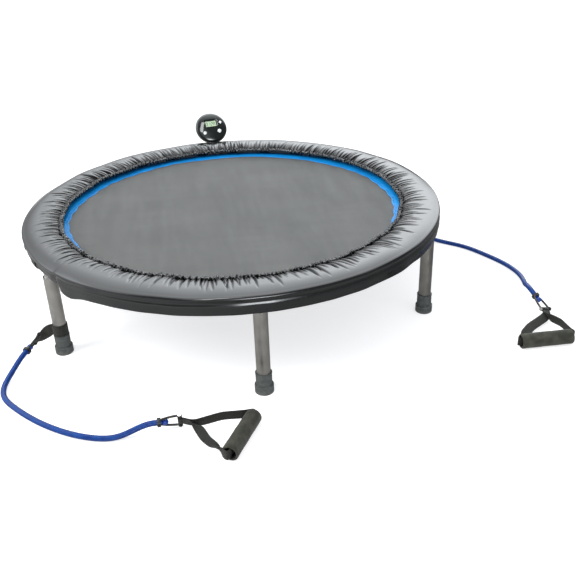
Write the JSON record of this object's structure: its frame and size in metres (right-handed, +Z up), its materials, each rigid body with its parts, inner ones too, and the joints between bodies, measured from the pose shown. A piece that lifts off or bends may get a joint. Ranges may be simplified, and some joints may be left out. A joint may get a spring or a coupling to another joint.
{
  "type": "mini trampoline",
  "caption": "Round mini trampoline on short tube legs, with a padded pleated rim cover, a jump counter and tube resistance bands with foam handles.",
  "frame": {"origin": "on the floor, under the centre of the ring", "axes": "+Z up, +Y from the ring's centre towards the rear leg that carries the counter, +X to the right for a viewer who faces the counter"},
  "size_m": [1.2078, 1.216, 0.2904],
  "materials": {
    "ring_steel": "satin black powder coat",
    "leg_steel": "satin nickel plating",
    "zinc_steel": "zinc plated",
    "foot_rubber": "matt moulded rubber",
    "mat_weave": "woven polypropylene",
    "edge_blue": "coated blue binding",
    "webbing": "woven webbing",
    "elastic": "woven elastic",
    "foam": "open cell foam",
    "vinyl": "glossy vinyl",
    "cord": "braided elastic",
    "case_black": "high gloss",
    "bracket_black": "fine moulded texture",
    "lens_clear": "clear",
    "display_green": "reflective liquid crystal",
    "board_green": "solder mask",
    "switch_grey": "moulded",
    "button_silver": "satin plated",
    "cell_steel": "polished",
    "latex_blue": "smooth latex",
    "bead_blue": "moulded",
    "link_black": "black coat",
    "pin_steel": "nickel plated",
    "core_plastic": "moulded",
    "grip_foam": "closed cell foam"
  },
  "bodies": {
    "frame": {"frame_ring": "ring_steel", "leg_studs": "zinc_steel", "leg_inserts": "zinc_steel", "leg_1": "leg_steel", "leg_2": "leg_steel", "leg_3": "leg_steel", "leg_4": "leg_steel", "leg_5": "leg_steel", "leg_6": "leg_steel", "rubber_feet": "foot_rubber", "tension_bands": "elastic", "pad_foam": "foam", "pad_cover": "vinyl", "inner_cord": "cord", "hem_cord": "cord", "counter_bracket": "bracket_black", "clamp_screw": "zinc_steel", "tilt_pin": "zinc_steel"},
    "mat": {"jump_mat": "mat_weave", "mat_edge_band": "edge_blue", "edge_tabs": "webbing", "wire_rings": "zinc_steel"},
    "counter": {"counter_front": "case_black", "counter_back": "case_black", "display_lens": "lens_clear", "display_panel": "display_green", "circuit_board": "board_green", "key_switches": "switch_grey", "coin_cell": "cell_steel", "battery_cover": "bracket_black", "case_screws": "zinc_steel"},
    "mode_button": {"mode_button": "button_silver"},
    "set_button": {"set_button": "button_silver"},
    "reset_button": {"reset_button": "button_silver"},
    "left_strap": {"left_leg_strap": "webbing"},
    "left_anchor": {"left_anchor_link": "link_black", "left_anchor_pin": "pin_steel"},
    "left_cord": {"left_tube": "latex_blue", "left_tube_beads": "bead_blue"},
    "left_end_link": {"left_handle_link": "link_black", "left_handle_pin": "pin_steel"},
    "left_handle": {"left_handle_strap": "webbing"},
    "left_grip": {"left_grip_core": "core_plastic", "left_grip_foam": "grip_foam"},
    "right_strap": {"right_leg_strap": "webbing"},
    "right_anchor": {"right_anchor_link": "link_black", "right_anchor_pin": "pin_steel"},
    "right_cord": {"right_tube": "latex_blue", "right_tube_beads": "bead_blue"},
    "right_end_link": {"right_handle_link": "link_black", "right_handle_pin": "pin_steel"},
    "right_handle": {"right_handle_strap": "webbing"},
    "right_grip": {"right_grip_core": "core_plastic", "right_grip_foam": "grip_foam"}
  },
  "joints": [
    {"name": "mat_bounce", "type": "slide", "parent": "frame", "child": "mat", "axis": [0, 0, -1], "range_m": [0, 0.04], "stiffness_N_per_m": 9000, "deforming": ["tension_bands"]},
    {"name": "counter_tilt", "type": "hinge", "parent": "frame", "child": "counter", "pos_m": [-0.00712, 0.50638, 0.2075], "axis": [-0.9848, -0.1736, 0], "range_deg": [-3, 25]},
    {"name": "mode_button_press", "type": "slide", "parent": "counter", "child": "mode_button", "axis": [-0.1368, 0.776, -0.6157], "range_m": [0, 0.001], "stiffness_N_per_m": 600},
    {"name": "set_button_press", "type": "slide", "parent": "counter", "child": "set_button", "axis": [-0.1368, 0.776, -0.6157], "range_m": [0, 0.001], "stiffness_N_per_m": 600},
    {"name": "reset_button_press", "type": "slide", "parent": "counter", "child": "reset_button", "axis": [-0.1368, 0.776, -0.6157], "range_m": [0, 0.001], "stiffness_N_per_m": 600},
    {"name": "left_strap_swivel", "type": "hinge", "parent": "frame", "child": "left_strap", "pos_m": [-0.40357, -0.233, 0.0585], "axis": [0, 0, 1], "range_deg": [-60, 5]},
    {"name": "left_anchor_swing", "type": "hinge", "parent": "left_strap", "child": "left_anchor", "pos_m": [-0.4555, -0.231, 0.038], "axis": [0.4348, -0.4059, 0.8038], "range_deg": [-20, 5]},
    {"name": "left_tube_lift", "type": "hinge", "parent": "left_anchor", "child": "left_cord", "pos_m": [-0.47342, -0.2638, 0.03114], "axis": [-0.4717, -0.8631, -0.1806], "range_deg": [0, 70]},
    {"name": "left_link_turn", "type": "hinge", "parent": "left_cord", "child": "left_end_link", "pos_m": [-0.205, -0.552, 0.0215], "axis": [-1, 0, 0], "range_deg": [-60, 60]},
    {"name": "left_handle_swing", "type": "hinge", "parent": "left_end_link", "child": "left_handle", "pos_m": [-0.167, -0.552, 0.0215], "axis": [0, -0.4108, 0.9117], "range_deg": [-45, 45]},
    {"name": "left_grip_spin", "type": "hinge", "parent": "left_handle", "child": "left_grip", "pos_m": [-0.0595, -0.6085, 0.0163], "axis": [0.4942, 0.8693, 0], "continuous": true},
    {"name": "right_strap_swivel", "type": "hinge", "parent": "frame", "child": "right_strap", "pos_m": [0.40357, 0.233, 0.0585], "axis": [0, 0, 1], "range_deg": [-5, 60]},
    {"name": "right_anchor_swing", "type": "hinge", "parent": "right_strap", "child": "right_anchor", "pos_m": [0.444, 0.201, 0.038], "axis": [0.0796, -0.0597, 0.995], "range_deg": [-20, 20]},
    {"name": "right_tube_lift", "type": "hinge", "parent": "right_anchor", "child": "right_cord", "pos_m": [0.47425, 0.17831, 0.03422], "axis": [-0.796, 0.597, 0.0995], "range_deg": [0, 70]},
    {"name": "right_link_turn", "type": "hinge", "parent": "right_cord", "child": "right_end_link", "pos_m": [0.65146, -0.28037, 0.03323], "axis": [-0.2775, 0.8324, 0.4798], "range_deg": [-60, 60]},
    {"name": "right_handle_swing", "type": "hinge", "parent": "right_end_link", "child": "right_handle", "pos_m": [0.662, -0.312, 0.015], "axis": [0.8109, 0.4707, -0.3476], "range_deg": [-45, 45]},
    {"name": "right_grip_spin", "type": "hinge", "parent": "right_handle", "child": "right_grip", "pos_m": [0.605, -0.4305, 0.0163], "axis": [0.9994, -0.035, 0], "continuous": true}
  ]
}
